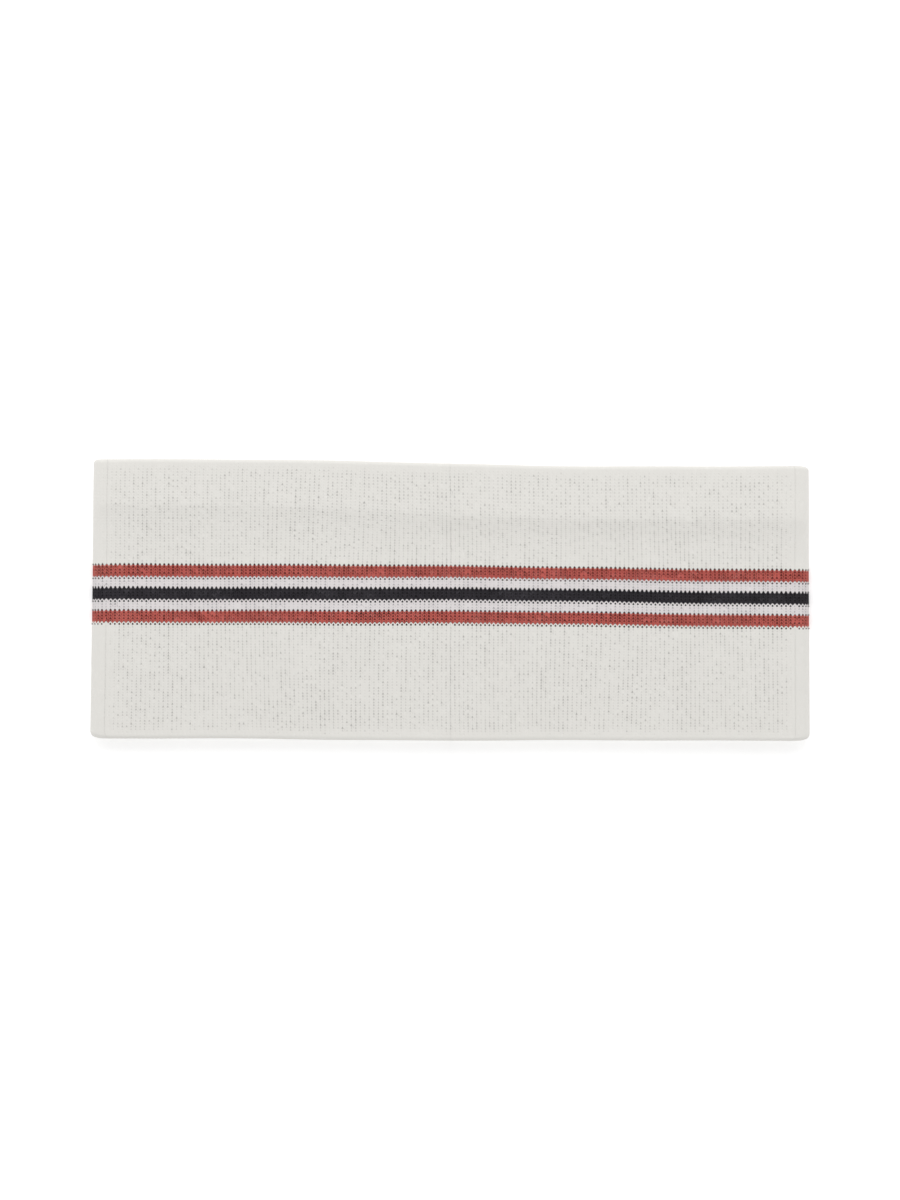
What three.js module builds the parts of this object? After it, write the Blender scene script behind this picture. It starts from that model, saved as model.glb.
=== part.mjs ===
// Knitted sports headband, lying flat with its front face up.
//
// The real thing is one strip of fine stitch knit, folded double along both long edges, linked to itself
// on the inside a little below the upper edge, and joined into a loop by one seam at the centre back.
// Lying flat, the loop has a front panel above a back panel, joined by a fold at each side.
//
// Units are millimetres. X runs along the band, Y across it and Z up. The origin is under the middle of
// the band, on the surface that it lies on.

import * as THREE from 'three';

const { degToRad, lerp, smoothstep } = THREE.MathUtils;

// Driving dimensions.
const BAND_LENGTH = 251.2; // from side fold to side fold, along the lower edge
const UPPER_EDGE = 49.0; // height of the upper edge at the left end
const LOWER_EDGE = -48.3; // height of the lower edge at the left end
const LEFT_LEAN = 1.4; // how far the left fold comes in from the lower edge to the upper one
const RIGHT_LEAN = 0.5;
const CLOTH = 1.3; // one layer of knit
const LAYER_GAP = 0.2; // between a panel's two layers
const LOOP_SPACE = 5.0; // between the front panel and the back panel
const STRIPE_WIDTH = 4.1;
const STRIPE_PITCH = 7.95;
const MIDDLE_STRIPE = 2.2; // height of the middle of the navy stripe
const SEAM_DEPTH = 16.2; // from the upper edge down to the linking seam, at the left end
const SEAM_WIDTH = 1.6;
const SEAM_RISE = 0.25; // how far the linking seam stands proud inside the loop
const LOWER_CORNER = 2.6; // radius of both lower corners, seen from the front
const UPPER_LEFT_CORNER = 0.4;
const UPPER_RIGHT_CORNER = 1.5;
const CLEARANCE = 0.25; // between neighbouring solids

// The band doesn't lie quite straight. Each line across it drops towards the right end.
const UPPER_DROP = { amount: 2.4, from: -78, to: 55 };
const STRIPE_DROP = { amount: 1.85, from: -30, to: 150 };
const LOWER_DROP = { amount: 0.7, from: -92, to: 0 };
const SEAM_DROP = { amount: 2.7, from: -75, to: 20 }; // the linking seam's own drop, on top of the others
const SEAM_REACH = 8.0; // how far across the cloth the seam's own drop is felt

// Sizes that follow from them.
const PANEL = 2 * CLOTH + LAYER_GAP;
const HEIGHT = 2 * PANEL + LOOP_SPACE;
const FOLD_RADIUS = HEIGHT / 2;
const SEAM_LINE = UPPER_EDGE - SEAM_DEPTH;

// How finely the curved faces are divided.
const EDGE_SEGMENTS = 6;
const FRONT_STEPS = 12;
const BACK_STEPS = 6;
const FOLD_STEPS = 10;

function yarn(color, roughness) {
  return new THREE.MeshStandardMaterial({ color, roughness, metalness: 0 });
}

const cream = yarn(0xdedcd5, 0.9);
const white = yarn(0xd6d4d4, 0.9);
const red = yarn(0x9b4c44, 0.88);
const navy = yarn(0x2c2b2e, 0.85);
const thread = yarn(0xd2cfc6, 0.8);

// ---------------------------------------------------------------------------------------------------
// Profiles: sections across the band. A profile's first coordinate is the height across the band at the
// left end, and its second is the depth below the cloth's outer face.

function slab(low, high, shallow, deep) {
  const shape = new THREE.Shape();
  shape.moveTo(low, shallow);
  shape.lineTo(high, shallow);
  shape.lineTo(high, deep);
  shape.lineTo(low, deep);
  shape.closePath();
  return shape;
}

// Cloth that runs along the outer face to a long edge, turns over it and comes back on the inside. It has
// a point on each face where the widest corner starts, because only the cloth beyond it follows a corner.
function turnedCloth(edge, faceEnd, insideEnd) {
  const radius = PANEL / 2;
  const side = Math.sign(edge - faceEnd);
  const turn = edge - side * radius;
  const corner = edge - side * LOWER_CORNER;
  const shape = new THREE.Shape();
  shape.moveTo(faceEnd, 0);
  shape.lineTo(corner, 0);
  shape.lineTo(turn, 0);
  shape.absarc(turn, radius, radius, degToRad(-90), degToRad(90), side < 0);
  shape.lineTo(corner, PANEL);
  shape.lineTo(insideEnd, PANEL);
  shape.lineTo(insideEnd, CLOTH + LAYER_GAP);
  shape.lineTo(corner, CLOTH + LAYER_GAP);
  shape.lineTo(turn, CLOTH + LAYER_GAP);
  shape.lineTo(turn, CLOTH);
  shape.lineTo(corner, CLOTH);
  shape.lineTo(faceEnd, CLOTH);
  shape.closePath();
  return shape;
}

// The whole section of a panel, hollow between its two layers.
function wholePanel() {
  const radius = PANEL / 2;
  const shape = new THREE.Shape();
  shape.moveTo(LOWER_EDGE + radius, 0);
  shape.lineTo(UPPER_EDGE - radius, 0);
  shape.absarc(UPPER_EDGE - radius, radius, radius, degToRad(-90), degToRad(90), false);
  shape.lineTo(LOWER_EDGE + radius, PANEL);
  shape.absarc(LOWER_EDGE + radius, radius, radius, degToRad(90), degToRad(270), false);
  shape.closePath();
  shape.holes.push(slab(LOWER_EDGE + radius, UPPER_EDGE - radius, CLOTH, CLOTH + LAYER_GAP));
  return shape;
}

// ---------------------------------------------------------------------------------------------------
// The band's outline, from which every solid gets its place.

function drop(line, x) {
  return line.amount * smoothstep(x, line.from, line.to);
}

// The real height of a point that lies at the given height at the left end.
function heightAt(x, height) {
  const stripes = drop(STRIPE_DROP, x);
  if (height > MIDDLE_STRIPE) {
    const share = (height - MIDDLE_STRIPE) / (UPPER_EDGE - MIDDLE_STRIPE);
    const seam = drop(SEAM_DROP, x) * Math.exp(-(((height - SEAM_LINE) / SEAM_REACH) ** 2));
    return height - lerp(stripes, drop(UPPER_DROP, x), share) - seam;
  }
  const share = (height - LOWER_EDGE) / (MIDDLE_STRIPE - LOWER_EDGE);
  return height - lerp(drop(LOWER_DROP, x), stripes, share);
}

function cornerRadius(side, height) {
  if (height < 0) {
    return LOWER_CORNER;
  }
  return side < 0 ? UPPER_LEFT_CORNER : UPPER_RIGHT_CORNER;
}

// How far a rounded corner takes a side fold in at the given height.
function cornerInset(side, height) {
  const radius = cornerRadius(side, height);
  const edge = height > 0 ? UPPER_EDGE : -LOWER_EDGE;
  const into = Math.max(0, Math.abs(height) - (edge - radius));
  return radius - Math.sqrt(Math.max(0, radius * radius - into * into));
}

// Distance from the middle of the band to the place where a side fold starts.
function foldStart(side, height) {
  const lean = side < 0 ? LEFT_LEAN : RIGHT_LEAN;
  const share = (height - LOWER_EDGE) / (UPPER_EDGE - LOWER_EDGE);
  return BAND_LENGTH / 2 - FOLD_RADIUS - lean * share - cornerInset(side, height);
}

// ---------------------------------------------------------------------------------------------------
// Sections of the loop. Each one places a point by its share of the way along the section, its height
// and its depth. The sections follow one another round the loop, so all their solids face outwards.

function frontPanel(share, height, depth) {
  const right = foldStart(1, height) - CLEARANCE;
  const left = -foldStart(-1, height) + CLEARANCE;
  const x = lerp(right, left, share);
  return [x, heightAt(x, height), HEIGHT - depth];
}

function leftFold(share, height, depth) {
  const angle = Math.PI * share;
  const radius = FOLD_RADIUS - depth;
  const x = -foldStart(-1, height) - radius * Math.sin(angle);
  return [x, heightAt(x, height), FOLD_RADIUS + radius * Math.cos(angle)];
}

function backLeft(share, height, depth) {
  const outer = -foldStart(-1, height) + CLEARANCE;
  const x = lerp(outer, -SEAM_WIDTH / 2 - CLEARANCE, share);
  return [x, heightAt(x, height), depth];
}

function centreBack(share, height, depth) {
  const x = lerp(-SEAM_WIDTH / 2, SEAM_WIDTH / 2, share);
  return [x, heightAt(x, height), depth];
}

function backRight(share, height, depth) {
  const outer = foldStart(1, height) - CLEARANCE;
  const x = lerp(SEAM_WIDTH / 2 + CLEARANCE, outer, share);
  return [x, heightAt(x, height), depth];
}

function rightFold(share, height, depth) {
  const angle = Math.PI * share;
  const radius = FOLD_RADIUS - depth;
  const x = foldStart(1, height) + radius * Math.sin(angle);
  return [x, heightAt(x, height), FOLD_RADIUS - radius * Math.cos(angle)];
}

// A profile swept along a section of the loop.
function sweep(name, profile, material, place, steps) {
  const settings = { depth: 1, steps, bevelEnabled: false, curveSegments: EDGE_SEGMENTS };
  const geometry = new THREE.ExtrudeGeometry(profile, settings);
  const points = geometry.attributes.position;
  for (let i = 0; i < points.count; i += 1) {
    const [x, y, z] = place(points.getZ(i), points.getX(i), points.getY(i));
    points.setXYZ(i, x, y, z);
  }
  geometry.computeVertexNormals();
  const mesh = new THREE.Mesh(geometry, material);
  mesh.name = name;
  return mesh;
}

// ---------------------------------------------------------------------------------------------------
// Yarn zones, from the upper edge down. Each is a separate run of yarn all the way round the loop.

const halfStripe = STRIPE_WIDTH / 2;
const halfGap = CLEARANCE / 2;
const halfSeam = SEAM_WIDTH / 2;

// The lines where the yarn changes, from the upper edge down.
const changes = [STRIPE_PITCH, 0, -STRIPE_PITCH].flatMap((offset) => {
  const middle = MIDDLE_STRIPE + offset;
  return [middle + halfStripe, middle - halfStripe];
});

const bands = [
  ['red_stripe_upper', red],
  ['white_gap_upper', white],
  ['navy_stripe', navy],
  ['white_gap_lower', white],
  ['red_stripe_lower', red],
];

const upperCream = turnedCloth(UPPER_EDGE, changes.at(0) + halfGap, SEAM_LINE + halfSeam + CLEARANCE);
const lowerCream = turnedCloth(LOWER_EDGE, changes.at(-1) - halfGap, SEAM_LINE - halfSeam - CLEARANCE);
const seam = slab(SEAM_LINE - halfSeam, SEAM_LINE + halfSeam, CLOTH + LAYER_GAP, PANEL + SEAM_RISE);

const zones = [
  { name: 'upper_cream', profile: upperCream, material: cream },
  ...bands.map(([name, material], i) => {
    const profile = slab(changes[i + 1] + halfGap, changes[i] - halfGap, 0, CLOTH);
    return { name, profile, material };
  }),
  { name: 'lower_cream', profile: lowerCream, material: cream },
  { name: 'linking_seam', profile: seam, material: thread },
];

const sections = [
  { name: 'front', place: frontPanel, steps: FRONT_STEPS },
  { name: 'left_fold', place: leftFold, steps: FOLD_STEPS },
  { name: 'back_left', place: backLeft, steps: BACK_STEPS },
  { name: 'back_right', place: backRight, steps: BACK_STEPS },
  { name: 'right_fold', place: rightFold, steps: FOLD_STEPS },
];

const headband = new THREE.Group();
for (const section of sections) {
  for (const zone of zones) {
    const name = `${section.name}_${zone.name}`;
    headband.add(sweep(name, zone.profile, zone.material, section.place, section.steps));
  }
}
headband.add(sweep('centre_back_seam', wholePanel(), thread, centreBack, 1));

export default headband;
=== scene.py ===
"""A knitted sports headband, lying flat on a pale table and seen from straight above.

The CAD frame gives the sizes and the places. Each visible piece is a closed shell of knitted cloth whose
outer face has every stitch in it: two slanting legs of yarn to a stitch, in columns (wales) that run across
the band and rows (courses) that run along it. Lengths are in metres. X runs along the band, Y across it and
Z up.
"""

import math

import bpy
import numpy as np
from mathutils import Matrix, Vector


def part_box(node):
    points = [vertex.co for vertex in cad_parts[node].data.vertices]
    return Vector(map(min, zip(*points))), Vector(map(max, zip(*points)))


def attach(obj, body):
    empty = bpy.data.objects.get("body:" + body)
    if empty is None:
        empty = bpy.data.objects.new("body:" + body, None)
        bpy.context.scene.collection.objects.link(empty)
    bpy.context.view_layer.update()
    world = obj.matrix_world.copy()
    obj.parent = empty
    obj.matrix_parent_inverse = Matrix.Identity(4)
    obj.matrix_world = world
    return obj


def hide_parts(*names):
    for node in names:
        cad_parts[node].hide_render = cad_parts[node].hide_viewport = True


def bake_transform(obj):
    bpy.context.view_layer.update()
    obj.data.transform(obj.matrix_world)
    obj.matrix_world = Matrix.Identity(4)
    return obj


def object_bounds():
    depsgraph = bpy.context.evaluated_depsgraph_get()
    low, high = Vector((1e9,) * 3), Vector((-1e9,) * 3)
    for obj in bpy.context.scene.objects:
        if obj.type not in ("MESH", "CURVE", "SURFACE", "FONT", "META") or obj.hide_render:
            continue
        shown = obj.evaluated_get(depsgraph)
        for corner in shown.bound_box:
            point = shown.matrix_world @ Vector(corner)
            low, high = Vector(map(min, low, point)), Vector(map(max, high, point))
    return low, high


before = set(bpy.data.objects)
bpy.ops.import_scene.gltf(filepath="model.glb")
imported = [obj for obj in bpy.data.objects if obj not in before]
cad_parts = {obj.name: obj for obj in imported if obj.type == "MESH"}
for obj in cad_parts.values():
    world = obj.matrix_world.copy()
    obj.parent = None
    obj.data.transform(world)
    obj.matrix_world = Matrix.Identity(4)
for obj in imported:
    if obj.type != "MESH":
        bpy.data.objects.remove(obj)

CAD_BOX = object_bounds()
MM = 0.001
ROOT = "back_and_folds"


# ----------------------------------------------------------------------------------------------------
# Sizes from the frame. The left fold lies where the band is straight, so the heights come from there.

def span(node, axis):
    low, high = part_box(node)
    return low[axis], high[axis]


def extent(node, axis):
    low, high = span(node, axis)
    return high - low


def zone_low(zone):
    return span(f"left_fold_{zone}", 1)[0]


def zone_high(zone):
    return span(f"left_fold_{zone}", 1)[1]


STRIPES = ("red_stripe_upper", "white_gap_upper", "navy_stripe", "white_gap_lower", "red_stripe_lower")
# The CAD solids stop short of each line where the yarn changes, by the same amount on either side.
HALF_GAP = (zone_low("upper_cream") - zone_high("red_stripe_upper")) / 2
CHANGES = [zone_low(zone) - HALF_GAP for zone in ("upper_cream", *STRIPES)]
MIDDLE = (CHANGES[2] + CHANGES[3]) / 2
UPPER_EDGE = zone_high("upper_cream")
LOWER_EDGE = zone_low("lower_cream")
HALF_LENGTH = (CAD_BOX[1].x - CAD_BOX[0].x) / 2
HEIGHT = CAD_BOX[1].z
FOLD_RADIUS = HEIGHT / 2
CLOTH = extent("back_left_navy_stripe", 2)
PANEL = extent("back_left_lower_cream", 2)
EDGE_RADIUS = PANEL / 2
SEAM_LINE = (zone_low("linking_seam") + zone_high("linking_seam")) / 2
SEAM_WIDTH = zone_high("linking_seam") - zone_low("linking_seam")
SEAM_TOP = span("back_left_linking_seam", 2)[1]
BACK_SEAM_WIDTH = extent("centre_back_seam", 0)

# How the band lies: its ends lean in and its lines drop towards the right end, as in the frame. A drop is
# its size and the places along the band where it starts and ends.
LEFT_LEAN = 1.4 * MM
RIGHT_LEAN = 0.5 * MM
LOWER_CORNER = 2.6 * MM
UPPER_LEFT_CORNER = 0.4 * MM
UPPER_RIGHT_CORNER = 1.5 * MM
UPPER_DROP = (2.4 * MM, -78 * MM, 55 * MM)
STRIPE_DROP = (1.85 * MM, -30 * MM, 150 * MM)
LOWER_DROP = (0.7 * MM, -92 * MM, 0.0)
SEAM_DROP = (2.7 * MM, -75 * MM, 20 * MM)
SEAM_REACH = 8.0 * MM  # how far across the cloth the seam's own drop is felt

# How soft cloth strays from that. Below the seam fewer layers hold the front panel up, so it steps down.
STEP = 2.8 * MM
STEP_LENGTH = 11.0 * MM
STEP_ROUND = 0.9 * MM
SAG = 0.5 * MM
RIPPLE = 0.15 * MM
EDGE_WANDER = 0.12 * MM
SWAY = 0.5 * MM

# Slow waves of the cloth: a wave's share, its radians to a metre along the band and across it, its phase.
WANDER_WAVES = ((0.5, 47, 21, 0.4), (0.5, 113, -35, 1.9))
SWAY_WAVES = ((1.0, 76, 25, 2.6), (0.7, 29, 48, 0.0))
RIPPLE_WAVES = ((1.0, 38, 30, 0.7), (0.6, 71, -52, 2.1))

# The knit.
HALF_PANEL_WALES = 78
FOLD_WALES = 11
WALE = 1.54 * MM
COURSE = 0.99 * MM
STRIPE_COURSES = 4
V_RISE = 0.85  # how far a leg climbs from the middle of its wale to the edge, in courses
RELIEF = 0.38 * MM
JOIN_RELIEF = 0.25  # how much of it is left where two sections of the loop meet, so that no line shows
STREAK = 0.07  # how much a wale is looser or tighter than the rest
SPECKLE = 0.17  # and how much a single stitch is
STREAK_COURSES = 12  # over how many courses a wale's own looseness changes
DEEPER = 0.1  # how much deeper or shallower than the rest a single stitch is
FINE = (6, 4)  # points to a wale and to a course
PLAIN = (4, 2)
COARSE = (2, 2)
UNDER_STEP = 5 * MM  # between two rows of points on a piece's under face
TURN_ROWS = 7  # rows of points there round the turn over a long edge
LINK_ROWS = 9  # rows of points across a link of the linking seam
LINK_ROUND = 0.2 * MM  # how much lower the seam's edges are than its middle

# Where the cream cloth is smooth: the share of its holes that is left there, and how far that reaches.
SMOOTH = 0.3
SMOOTH_END = (1 * MM, 12 * MM)
SMOOTH_EDGE = 5 * MM
PRESSED = 0.95  # and the share that is left over the hem
PRESSED_BLEND = 1 * MM

# Beads of a stripe's yarn, in the holes between the wales.
BEAD_WIDTH = 0.76 * MM
BEAD_LENGTH = 0.8 * MM
BEAD_DEPTH = 0.24 * MM  # from the cloth's crests down to a bead's middle
BEAD_SIDES = 8
BEAD_RINGS = 4
# The beads' loft: low, so they take their yarn's hollow colour, a painted shade.
BEAD_LOFT = 0.2
BEAD_COURSES = (0.25, 5)  # the beads are inside its upper edge and beyond its lower one


# ----------------------------------------------------------------------------------------------------
# The outline and the loop

def smoothstep(x, start, end):
    t = np.clip((x - start) / (end - start), 0, 1)
    return t * t * (3 - 2 * t)


def mix(a, b, share):
    return a + (b - a) * share


def drop(line, x):
    amount, start, end = line
    return amount * smoothstep(x, start, end)


def wave(terms, x, height):
    """A sum of slow waves along and across the band."""
    return sum(size * np.sin(along * x + across * height + phase) for size, along, across, phase in terms)


def lie(x, height):
    """The real height of a point that has the given height at the left end."""
    stripes = drop(STRIPE_DROP, x)
    upper = mix(stripes, drop(UPPER_DROP, x), (height - MIDDLE) / (UPPER_EDGE - MIDDLE))
    lower = mix(drop(LOWER_DROP, x), stripes, (height - LOWER_EDGE) / (MIDDLE - LOWER_EDGE))
    seam = drop(SEAM_DROP, x) * np.exp(-(((height - SEAM_LINE) / SEAM_REACH) ** 2))
    straight = height - np.where(height > MIDDLE, upper, lower) - seam
    return straight + EDGE_WANDER * wave(WANDER_WAVES, x, height)


def corner_inset(side, height):
    upper = UPPER_LEFT_CORNER if side < 0 else UPPER_RIGHT_CORNER
    radius = np.where(height < 0, LOWER_CORNER, upper)
    edge = np.where(height > 0, UPPER_EDGE, -LOWER_EDGE)
    into = np.clip(np.abs(height) - (edge - radius), 0, radius)
    return radius - np.sqrt(radius**2 - into**2)


def fold_start(side, height):
    """Distance from the middle of the band to the place where a side fold starts."""
    lean = LEFT_LEAN if side < 0 else RIGHT_LEAN
    share = (height - LOWER_EDGE) / (UPPER_EDGE - LOWER_EDGE)
    return HALF_LENGTH - FOLD_RADIUS - lean * share - corner_inset(side, height)


def reach_of(x, height):
    """0 in the middle of the band and 1 where a side fold starts."""
    return np.abs(x) / np.where(x < 0, fold_start(-1, height), fold_start(1, height))


def sway(x, height):
    """How far a stitch of the front panel has moved along the band from its even place."""
    return SWAY * wave(SWAY_WAVES, x, height) * (1 - reach_of(x, height) ** 4)


def step_down(height):
    """How much lower the front panel and the tops of the folds lie than the band's top."""
    below = SEAM_LINE - height
    below = (below + np.hypot(below, STEP_ROUND)) / 2
    return STEP * (1 - np.exp(-below / STEP_LENGTH))


def sag(x, height):
    """How far the front panel hangs below its ends."""
    return (SAG + RIPPLE * wave(RIPPLE_WAVES, x, height)) * (1 - reach_of(x, height) ** 2) ** 2


def front(x, height, depth):
    return x + sway(x, height), lie(x, height), HEIGHT - depth - step_down(height) - sag(x, height)


def front_right(share, height, depth):
    return front(mix(fold_start(1, height), 0, share), height, depth)


def front_left(share, height, depth):
    return front(mix(0, -fold_start(-1, height), share), height, depth)


def fold(side, angle, height, depth):
    """Points round a side fold. The angle is 0 at the front panel and pi at the back."""
    radius = FOLD_RADIUS - depth
    x = side * (fold_start(side, height) + radius * np.sin(angle))
    flatter = step_down(height) * (1 + np.cos(angle)) / 2
    return x, lie(x, height), FOLD_RADIUS + radius * np.cos(angle) - flatter


def left_fold(share, height, depth):
    return fold(-1, math.pi * share, height, depth)


def right_fold(share, height, depth):
    return fold(1, math.pi * (1 - share), height, depth)


def back(x, height, depth):
    return x, lie(x, height), depth + 0 * x


def back_left(share, height, depth):
    return back(mix(-fold_start(-1, height), -BACK_SEAM_WIDTH / 2, share), height, depth)


def centre_back(share, height, depth):
    return back(mix(-BACK_SEAM_WIDTH / 2, BACK_SEAM_WIDTH / 2, share) + 0 * height, height, depth)


def back_right(share, height, depth):
    return back(mix(BACK_SEAM_WIDTH / 2, fold_start(1, height), share), height, depth)


PANEL_WIDTH = HALF_LENGTH - FOLD_RADIUS
FOLD_WIDTH = math.pi * (FOLD_RADIUS - PANEL / 2)

# Each section of the loop: where it places a point, its wales, the points to a stitch of its outer face
# and the width that its cloth was knitted to.
SECTIONS = {
    "front_right": (front_right, HALF_PANEL_WALES, FINE, PANEL_WIDTH),
    "front_left": (front_left, HALF_PANEL_WALES, FINE, PANEL_WIDTH),
    "left_fold": (left_fold, FOLD_WALES, FINE, FOLD_WIDTH),
    "back_left": (back_left, HALF_PANEL_WALES, PLAIN, PANEL_WIDTH),
    "centre_back": (centre_back, 1, FINE, BACK_SEAM_WIDTH),
    "back_right": (back_right, HALF_PANEL_WALES, PLAIN, PANEL_WIDTH),
    "right_fold": (right_fold, FOLD_WALES, FINE, FOLD_WIDTH),
}


# ----------------------------------------------------------------------------------------------------
# Paths across the band. A path takes distances along the cloth, and gives the height and the depth there
# and the way that the cloth's outer face looks: along the height and into the depth.

def face_path(start):
    """Down the outer face."""
    def path(along):
        return start - along, 0 * along, 0 * along, -1 + 0 * along
    return path


def turned_path(start, edge):
    """Along the outer face to a long edge, over it and back on the inside."""
    side = math.copysign(1, edge - start)
    flat = abs(edge - start) - EDGE_RADIUS

    def path(along):
        angle = np.clip((along - flat) / EDGE_RADIUS, 0, math.pi)
        beyond = np.clip(along - flat - EDGE_RADIUS * math.pi, 0, None)
        reach = np.minimum(along, flat) + EDGE_RADIUS * np.sin(angle) - beyond
        depth = EDGE_RADIUS * (1 - np.cos(angle))
        return start + side * reach, depth, side * np.sin(angle), -np.cos(angle)
    return path


def turn_ends(start, edge):
    """Distances along a turned path to where the turn starts and where it ends."""
    flat = abs(edge - start) - EDGE_RADIUS
    return flat, flat + EDGE_RADIUS * math.pi


# ----------------------------------------------------------------------------------------------------
# Stitches. A place in a stitch is its distance from the wale's middle, in wales, and its course.

def leg(across, course, bridge):
    """The height of a leg of yarn, from 0 in the hole beside it to 1 on its crest. bridge is the height of
    the yarn between one hole and the next along the edge of a wale."""
    places = (0, 0.17, 0.33, 0.5)
    arch = np.interp(across, places, (0.65, 1.0, 0.95, bridge))
    groove = np.interp(across, places, (0.5, 0.15, 0.75, 1.0)) * np.cos(math.pi * course) ** 2
    return arch * (1 - groove)


def looseness(random, course, wale):
    """How open the holes between the wales are, about 1. It changes along each wale, and from stitch to
    stitch."""
    hole = random.normal(0, 1, (int(course.max()) + 1, int(wale.max()) + 1))
    knots = random.normal(0, 1, (int(course.max() / STREAK_COURSES) + 2, int(wale.max()) + 1))
    at = course[:, 0] / STREAK_COURSES
    low = np.floor(at).astype(int)
    streak = mix(knots[low], knots[low + 1], smoothstep(at - low, 0, 1)[:, None])[:, wale]
    single = hole[np.rint(course[:, 0]).astype(int)][:, wale]
    return np.clip(1 + STREAK * streak + SPECKLE * single, 0, 2)


def calm(x, height):
    """The cream cloth is pulled smooth near its ends and its long edges, and is pressed over the hem: 1 in
    the open, less there."""
    from_end = HALF_LENGTH - np.abs(x)
    from_edge = np.minimum(UPPER_EDGE - height, height - LOWER_EDGE)
    hem = mix(1, PRESSED, smoothstep(height, SEAM_LINE - PRESSED_BLEND, SEAM_LINE + PRESSED_BLEND))
    ends = mix(SMOOTH, 1, smoothstep(from_end, *SMOOTH_END))
    return hem * ends * mix(SMOOTH, 1, smoothstep(from_edge, 0, SMOOTH_EDGE))


# ----------------------------------------------------------------------------------------------------
# Meshes

def make_piece(name, points, groups, attributes):
    """groups holds (corners, smooth) pairs, with corners an array of one row to each face."""
    corners = np.concatenate([rows.ravel() for rows, _ in groups])
    sizes = np.concatenate([np.full(len(rows), rows.shape[1]) for rows, _ in groups])
    smooth = np.concatenate([np.full(len(rows), flag) for rows, flag in groups])
    mesh = bpy.data.meshes.new(name)
    mesh.vertices.add(len(points))
    mesh.vertices.foreach_set("co", points.astype(np.float32).ravel())
    mesh.loops.add(len(corners))
    mesh.loops.foreach_set("vertex_index", corners.astype(np.int32))
    mesh.polygons.add(len(sizes))
    mesh.polygons.foreach_set("loop_start", (np.cumsum(sizes) - sizes).astype(np.int32))
    mesh.polygons.foreach_set("use_smooth", smooth)
    mesh.update(calc_edges=True)
    for key, values in attributes.items():
        mesh.attributes.new(key, "FLOAT", "POINT").data.foreach_set("value", values.astype(np.float32))
    piece = bpy.data.objects.new(name, mesh)
    bpy.context.scene.collection.objects.link(piece)
    return piece


def tube_faces(rows, outer_rows, columns, side):
    """Faces of a tube with the given rows of points round it. Its outer and under faces are smooth, and the
    walls between them and the caps are flat. side is -1 where the rows run the other way round."""
    start = np.arange(rows)[:, None] * columns + np.arange(columns - 1)[None, :]
    after = np.roll(np.arange(rows), -1)[:, None] * columns + np.arange(columns - 1)[None, :]
    quads = np.stack([start, after, after + 1, start + 1], axis=-1)
    walls = np.zeros(rows, bool)
    walls[[outer_rows - 1, rows - 1]] = True
    first = np.arange(rows)[::-1] * columns
    last = np.arange(rows) * columns + columns - 1
    groups = [(quads[~walls].reshape(-1, 4), True), (quads[walls].reshape(-1, 4), False),
              (first[None, :], False), (last[None, :], False)]
    return groups if side > 0 else [(corners[:, ::-1], smooth) for corners, smooth in groups]


def bead_faces(count, first_point):
    """Faces of small round beads, each with rings of points from its top down."""
    ring = np.arange(BEAD_RINGS - 1)[:, None] * BEAD_SIDES
    now = np.arange(BEAD_SIDES)[None, :]
    after = np.roll(now, -1)
    quads = np.stack([ring + now, ring + BEAD_SIDES + now, ring + BEAD_SIDES + after, ring + after], axis=-1)
    starts = first_point + np.arange(count) * BEAD_RINGS * BEAD_SIDES
    top = np.arange(BEAD_SIDES)
    bottom = top[::-1] + (BEAD_RINGS - 1) * BEAD_SIDES
    return [((starts[:, None, None] + quads.reshape(1, -1, 4)).reshape(-1, 4), True),
            (starts[:, None] + top[None, :], True), (starts[:, None] + bottom[None, :], True)]


def grid(place, share, height, depth):
    return np.stack(np.broadcast_arrays(*place(share, height, depth)), axis=-1)


def bead_points(place, wales, path, along):
    """A row of beads, one in the hole between each two wales, at the given distance along the path."""
    turn = np.linspace(0, 2 * math.pi, BEAD_SIDES, endpoint=False)[None, None, :]
    tilt = (math.pi * (np.arange(BEAD_RINGS) + 0.5) / BEAD_RINGS)[None, :, None]
    middle = (np.arange(1, wales) / wales)[:, None, None]
    share = middle + np.sin(tilt) * np.cos(turn) * BEAD_WIDTH / 2 / (wales * WALE)
    height, depth, _, into = path(along + np.sin(tilt) * np.sin(turn) * BEAD_LENGTH / 2 + 0 * middle)
    rise = np.cos(tilt) * BEAD_WIDTH / 2 - BEAD_DEPTH
    return grid(place, share, height, depth + into * rise).reshape(-1, 3)


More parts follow.
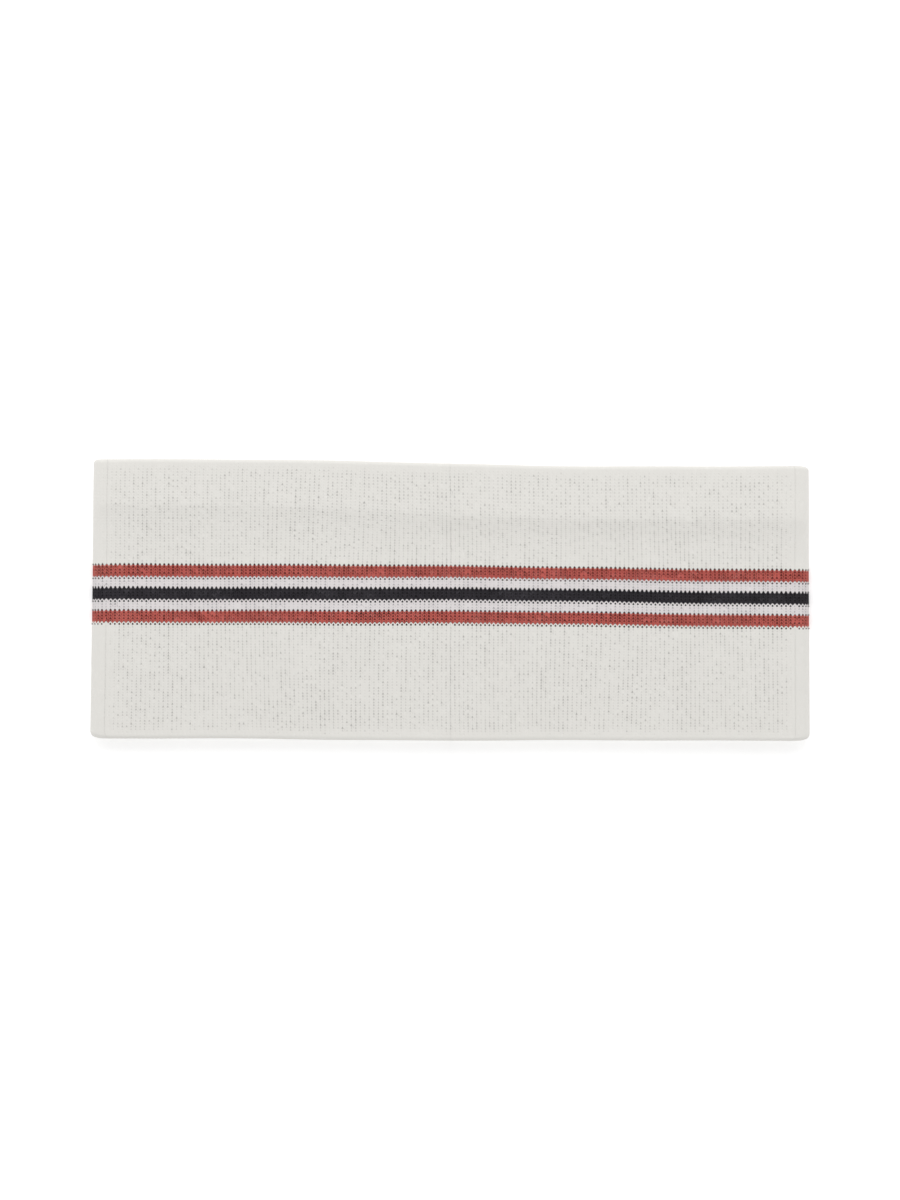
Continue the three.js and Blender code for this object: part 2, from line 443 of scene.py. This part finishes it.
def knit(name, section, path, side, length, courses, slot, begin=0.0, detail=None, under=(), beads=()):
    """A piece of knitted cloth along a section of the loop. It starts at the distance begin along its path
    and runs for the given length. under holds the distances where its under face has rows of points besides
    its ends, and beads the courses where its yarn shows as beads between the wales."""
    place, wales, own_detail, _ = SECTIONS[section]
    openness, bridge = FORMS[slot]
    per_wale, per_course = detail or own_detail
    columns = wales * per_wale + 1
    share = np.linspace(0, 1, columns)[None, :]
    across = np.abs(np.mod(np.arange(columns) / per_wale, 1) - 0.5)[None, :]
    lift = side * V_RISE * (2 * across - 0.5)
    course = np.linspace(0, courses, courses * per_course + 1)[:, None]
    pitch = length / courses

    random = np.random.default_rng(sum(map(ord, name)))
    stitches = random.normal(0, 1, (courses + 1, wales + 1))
    stitch = stitches[np.floor(course).astype(int), np.floor(share * wales).astype(int)]
    nearest_hole = np.rint(share[0] * wales).astype(int)

    height, depth, facing, into = path(begin + (course + lift) * pitch)
    x = place(share, height, depth)[0]
    loose = openness * looseness(random, course, nearest_hole)
    if slot == "cream_yarn":
        loose = loose * calm(x, height)
    loft = np.clip(1 - (1 - leg(across, course, bridge)) * loose, 0, 1)
    relief = RELIEF * (loft - 1) * (1 + DEEPER * np.clip(stitch, -2, 2))
    relief[:, [0, -1]] *= JOIN_RELIEF
    outer = grid(place, share, height + facing * relief, depth + into * relief)

    rows = begin + np.array([0.0, *under, length])[::-1, None]
    height, depth, facing, into = path(rows + lift * pitch)
    inner = grid(place, share, height - facing * CLOTH, depth - into * CLOTH)

    points = [np.concatenate([outer, inner]).reshape(-1, 3)]
    groups = tube_faces(len(outer) + len(inner), len(outer), columns, side)
    values = {"loft": loft, "across": across + 0 * loft, "course": course + 0 * loft, "stitch": stitch}
    for bead_course in beads:
        groups += bead_faces(wales - 1, sum(map(len, points)))
        points.append(bead_points(place, wales, path, begin + (bead_course + side * V_RISE / 2) * pitch))
    points = np.concatenate(points)
    rest = len(points) - loft.size
    # The under faces and the beads take that low loft, and so the hollows' painted shade.
    plain = {"loft": BEAD_LOFT, "across": 0.0, "course": 0.0, "stitch": 0.0}
    attributes = {key: np.append(part, np.full(rest, plain[key])) for key, part in values.items()}
    return make_piece(name, points, groups, attributes)


def link(name, section):
    """The chain of stitches that links the hem to the lining, on the inside of the loop. Its links lie
    along the band."""
    place, wales, _, _ = SECTIONS[section]
    columns = wales * FINE[0] + 1
    share = np.linspace(0, 1, columns)[None, :]
    off = np.linspace(-1, 1, LINK_ROWS)[:, None]
    course = share * wales + V_RISE * np.abs(off) / 2
    loft = leg(np.abs(off) / 2, course, FORMS["seam_thread"][1])
    height = SEAM_LINE - off * SEAM_WIDTH / 2 + 0 * share
    outer = grid(place, share, height, SEAM_TOP + RELIEF * (loft - 1) - LINK_ROUND * off**2)
    edges = SEAM_LINE - np.array([1.0, -1.0])[:, None] * SEAM_WIDTH / 2 + 0 * share
    inner = grid(place, share, edges, SEAM_TOP - CLOTH + 0 * edges)
    points = np.concatenate([outer, inner]).reshape(-1, 3)
    # The link's inner face has loft 0, so it takes the hollows' painted shade.
    rest = np.zeros(inner[..., 0].size)
    attributes = {
        "loft": np.append(loft, rest),
        "across": np.append(np.abs(off) / 2 + 0 * share, rest),
        "course": np.append(course, rest),
        "stitch": np.append(0 * loft, rest),
    }
    return make_piece(name, points, tube_faces(LINK_ROWS + 2, LINK_ROWS, columns, 1), attributes)


# ----------------------------------------------------------------------------------------------------
# Materials

FIBRES = (4200, 3)  # the scale and the detail of the noise of single fibres
BLOTCHES = (90, 3)  # and of the noise of paler and darker places
FIBRE_FLECK = 0.9  # how much of the fleck's colour, partly a painted highlight, each of them adds
BLOTCH_FLECK = 0.35
STITCH_FLECK = 0.12
LIGHT_STITCHES = (0.3, 2.2)  # from which of the random numbers of the stitches a stitch is a light one, a painted highlight
HOLLOW_LOFT = 0.25  # up to this height in a stitch the yarn has the hollow's colour, which is painted shade
CREST_LOFT = 0.75  # and from this height on the crest's
PLY_TWIST = 23.0  # the slant of the plies: radians to a wale
PLIES = 2  # to a course
PLY_RELIEF = 0.5
FIBRE_RELIEF = 1.6
BUMP_STRENGTH = 0.35
BUMP_DEPTH = 0.05 * MM
TABLE_GLOW = 0.28  # the table is a light table, so its shadows are faint

# The colour sockets of a Mix node, which share their names with others.
MIX_A, MIX_B, MIX_RESULT = 6, 7, 2


def srgb(red, green, blue):
    """A colour from its 0 to 255 values."""
    def linear(v):
        v = v / 255
        return v / 12.92 if v <= 0.04045 else ((v + 0.055) / 1.055) ** 2.4
    return linear(red), linear(green), linear(blue), 1.0


class Graph:
    """Adds nodes to a material."""

    def __init__(self, name):
        self.material = bpy.data.materials.new(name)
        self.material.use_nodes = True
        self.nodes = self.material.node_tree.nodes
        self.links = self.material.node_tree.links
        self.shader = self.nodes["Principled BSDF"]

    def feed(self, socket, source):
        if isinstance(source, bpy.types.NodeSocket):
            self.links.new(source, socket)
        else:
            socket.default_value = source

    def attribute(self, key):
        node = self.nodes.new("ShaderNodeAttribute")
        node.attribute_name = key
        return node.outputs["Fac"]

    def math(self, operation, a, b=0.0, c=0.0):
        node = self.nodes.new("ShaderNodeMath")
        node.operation = operation
        for socket, source in zip(node.inputs, (a, b, c)):
            self.feed(socket, source)
        return node.outputs[0]

    def colours(self, a, b, share):
        node = self.nodes.new("ShaderNodeMix")
        node.data_type = "RGBA"
        node.clamp_factor = True
        self.feed(node.inputs["Factor"], share)
        self.feed(node.inputs[MIX_A], a)
        self.feed(node.inputs[MIX_B], b)
        return node.outputs[MIX_RESULT]

    def noise(self, scale, detail):
        """Noise about 0, in the object's own place."""
        place = self.nodes.new("ShaderNodeTexCoord").outputs["Object"]
        node = self.nodes.new("ShaderNodeTexNoise")
        node.inputs["Scale"].default_value = scale
        node.inputs["Detail"].default_value = detail
        self.links.new(place, node.inputs["Vector"])
        return self.math("SUBTRACT", node.outputs["Fac"], 0.5)

    def smooth_range(self, source, low, high):
        node = self.nodes.new("ShaderNodeMapRange")
        node.interpolation_type = "SMOOTHSTEP"
        self.feed(node.inputs["Value"], source)
        node.inputs["From Min"].default_value = low
        node.inputs["From Max"].default_value = high
        return node.outputs["Result"]


def yarn(name, crest, hollow_shade, fleck_and_highlight, roughness, sheen):
    """Knitted yarn: the darker colour of its hollows is painted shade, single stitches and fibres vary, its
    pale flecks are partly the yarn's own tone and partly painted highlights, and the twist of its plies and
    its fuzz show in the bump."""
    crest, hollow_shade, fleck_and_highlight = (srgb(*colour) for colour in (crest, hollow_shade, fleck_and_highlight))
    graph = Graph(name)
    shader = graph.shader
    shader.inputs["Roughness"].default_value = roughness
    shader.inputs["Sheen Weight"].default_value = sheen
    shader.inputs["Specular IOR Level"].default_value = 0.25

    fibres = graph.noise(*FIBRES)
    blotches = graph.noise(*BLOTCHES)
    # Painted shade: low in each stitch the yarn takes the darker hollow colour, on top of the shade that the
    # relief casts.
    raised = graph.smooth_range(graph.attribute("loft"), HOLLOW_LOFT, CREST_LOFT)
    body = graph.colours(hollow_shade, crest, raised)
    # Partly painted highlight: light stitches, fibres and blotches mix in the paler fleck colour, besides
    # the yarn's own random tone.
    light = graph.smooth_range(graph.attribute("stitch"), *LIGHT_STITCHES)
    share = graph.math("ADD", graph.math("MULTIPLY", light, STITCH_FLECK),
                       graph.math("MULTIPLY", fibres, FIBRE_FLECK))
    share = graph.math("ADD", share, graph.math("MULTIPLY", blotches, BLOTCH_FLECK))
    graph.feed(shader.inputs["Base Color"], graph.colours(body, fleck_and_highlight, share))

    ply = graph.math("ADD", graph.math("MULTIPLY", graph.attribute("across"), PLY_TWIST),
                     graph.math("MULTIPLY", graph.attribute("course"), 2 * math.pi * PLIES))
    relief = graph.math("ADD", graph.math("MULTIPLY", graph.math("SINE", ply), PLY_RELIEF),
                        graph.math("MULTIPLY", fibres, FIBRE_RELIEF))
    bump = graph.nodes.new("ShaderNodeBump")
    bump.inputs["Strength"].default_value = BUMP_STRENGTH
    bump.inputs["Distance"].default_value = BUMP_DEPTH
    graph.feed(bump.inputs["Height"], relief)
    graph.feed(shader.inputs["Normal"], bump.outputs["Normal"])
    return graph.material


def table_top():
    graph = Graph("table_top")
    graph.shader.inputs["Base Color"].default_value = (0.92, 0.92, 0.92, 1)
    graph.shader.inputs["Roughness"].default_value = 0.9
    graph.shader.inputs["Specular IOR Level"].default_value = 0.1
    graph.shader.inputs["Emission Color"].default_value = (1, 1, 1, 1)
    graph.shader.inputs["Emission Strength"].default_value = TABLE_GLOW
    return graph.material


# Each yarn's colours on its crests, in its hollows (a painted shade) and in its flecks (partly painted
# highlights), its roughness and its sheen.
LOOKS = {
    "cream_yarn": ((229, 227, 222), (178, 176, 172), (248, 246, 242), 0.9, 0.2),
    "white_yarn": ((226, 221, 221), (150, 147, 150), (248, 246, 247), 0.9, 0.2),
    "red_yarn": ((196, 94, 85), (36, 1, 0), (230, 164, 154), 0.88, 0.1),
    "navy_yarn": ((43, 40, 45), (4, 3, 6), (112, 110, 116), 0.85, 0.0),
    "seam_thread": ((218, 215, 208), (164, 160, 152), (236, 234, 228), 0.8, 0.15),
}
YARNS = {name: yarn(name, *look) for name, look in LOOKS.items()}

SLOTS = {
    "upper_cream": "cream_yarn",
    "red_stripe_upper": "red_yarn",
    "white_gap_upper": "white_yarn",
    "navy_stripe": "navy_yarn",
    "white_gap_lower": "white_yarn",
    "red_stripe_lower": "red_yarn",
    "lower_cream": "cream_yarn",
    "linking_seam": "seam_thread",
}

# How open the stitches of each yarn are, from 0 for felt to over 1 for wide holes, and how high the yarn
# between two holes is.
FORMS = {
    "cream_yarn": (0.58, 0.4),
    "white_yarn": (0.7, 0.9),
    "red_yarn": (1.2, 1.0),
    "navy_yarn": (1.1, 1.0),
    "seam_thread": (1.0, 0.7),
}


# ----------------------------------------------------------------------------------------------------
# Pieces

def dress(piece, slot, node):
    """Gives a piece its yarn, puts it in the place of its CAD node and, unless it is part of the front
    panel, hangs it on the body of the back and the folds.
    """
    piece.data.materials.append(YARNS[slot])
    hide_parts(node)
    if node.startswith("front"):
        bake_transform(piece)
    else:
        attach(piece, ROOT)
    return piece


def turned_zone(section, zone, node, start, edge, inside_name):
    """A cream zone: its outer face with the turned long edge, and the cloth that goes on inside to the
    linking seam."""
    side = math.copysign(1, edge - start)
    path = turned_path(start, edge)
    turn, end = turn_ends(start, edge)
    under = [*np.arange(UNDER_STEP, turn, UNDER_STEP), *np.linspace(turn, end, TURN_ROWS)[:-1]]
    inside = abs(edge - SEAM_LINE) - EDGE_RADIUS
    _, _, _, width = SECTIONS[section]
    face = knit(f"{section}.{zone}", section, path, side, end, round(end / COURSE), "cream_yarn",
                under=under)
    back_cloth = knit(f"{section}.{inside_name}", section, path, side, inside, round(inside / COURSE),
                      "cream_yarn", begin=end, detail=COARSE,
                      under=np.arange(UNDER_STEP, inside, UNDER_STEP))
    dress(face, "cream_yarn", node)
    dress(back_cloth, "cream_yarn", node)
    return face, (width, end)


def make_section(section):
    prefix = "front" if section.startswith("front") else section
    for zone, top, bottom in zip(STRIPES, CHANGES, CHANGES[1:]):
        beads = () if zone.startswith("white") else BEAD_COURSES
        piece = knit(f"{section}.{zone}", section, face_path(top), -1, top - bottom, STRIPE_COURSES,
                     SLOTS[zone], beads=beads)
        dress(piece, SLOTS[zone], f"{prefix}_{zone}")
    seam = dress(link(f"{section}.linking_seam", section), "seam_thread", f"{prefix}_linking_seam")
    upper, upper_flat = turned_zone(section, "upper_cream", f"{prefix}_upper_cream", CHANGES[0], UPPER_EDGE,
                                    "hem")
    lower, lower_flat = turned_zone(section, "lower_cream", f"{prefix}_lower_cream", CHANGES[-1], LOWER_EDGE,
                                    "lining")


def make_back_seam():
    """The column of stitches that closes the loop at the centre back, round the whole panel."""
    for name, edge in (("upper", UPPER_EDGE), ("lower", LOWER_EDGE)):
        side = math.copysign(1, edge - MIDDLE)
        turn, end = turn_ends(MIDDLE, edge)
        length = end + abs(edge - SEAM_LINE) - EDGE_RADIUS
        under = [*np.arange(UNDER_STEP, turn, UNDER_STEP), *np.linspace(turn, end, TURN_ROWS)]
        piece = knit(f"centre_back.{name}", "centre_back", turned_path(MIDDLE, edge), side, length,
                     round(length / COURSE), "seam_thread", under=under)
        dress(piece, "seam_thread", "centre_back_seam")


for key in SECTIONS:
    if key != "centre_back":
        make_section(key)
make_back_seam()


# ----------------------------------------------------------------------------------------------------
# Table, light and camera

VIEW_LENGTH = 418.4 * MM  # the long side of the picture, at the level of the band's outline
LENS = 100.0
SENSOR = 36.0
TABLE = 6.0
SKY = 0.78  # strength of the even light from all round
KEY_PLACE = (-0.05, 0.95, 0.95)  # beyond the upper edge
KEY_SIZE = 1.0
KEY_POWER = 6.0


def make_table():
    bpy.ops.mesh.primitive_plane_add(size=TABLE)
    table = bpy.context.object
    table.name = "table_top"
    table.data.materials.append(table_top())


def area_light(name, place, size, power):
    """A square light that looks at the band."""
    data = bpy.data.lights.new(name, "AREA")
    data.size = size
    data.energy = power
    light = bpy.data.objects.new(name, data)
    bpy.context.scene.collection.objects.link(light)
    light.location = place
    light.rotation_euler = (-Vector(place)).to_track_quat("-Z", "Y").to_euler()


def light_scene():
    world = bpy.data.worlds.new("studio")
    bpy.context.scene.world = world
    world.use_nodes = True
    background = world.node_tree.nodes["Background"]
    background.inputs["Color"].default_value = (1, 1, 1, 1)
    background.inputs["Strength"].default_value = SKY
    area_light("key", KEY_PLACE, KEY_SIZE, KEY_POWER)


def add_camera():
    data = bpy.data.cameras.new("camera")
    data.lens = LENS
    data.sensor_width = SENSOR
    camera = bpy.data.objects.new("camera", data)
    bpy.context.scene.collection.objects.link(camera)
    camera.location = (0, 0, FOLD_RADIUS + VIEW_LENGTH * LENS / SENSOR)
    bpy.context.scene.camera = camera


make_table()
light_scene()
add_camera()
bpy.context.scene.view_settings.view_transform = "Standard"
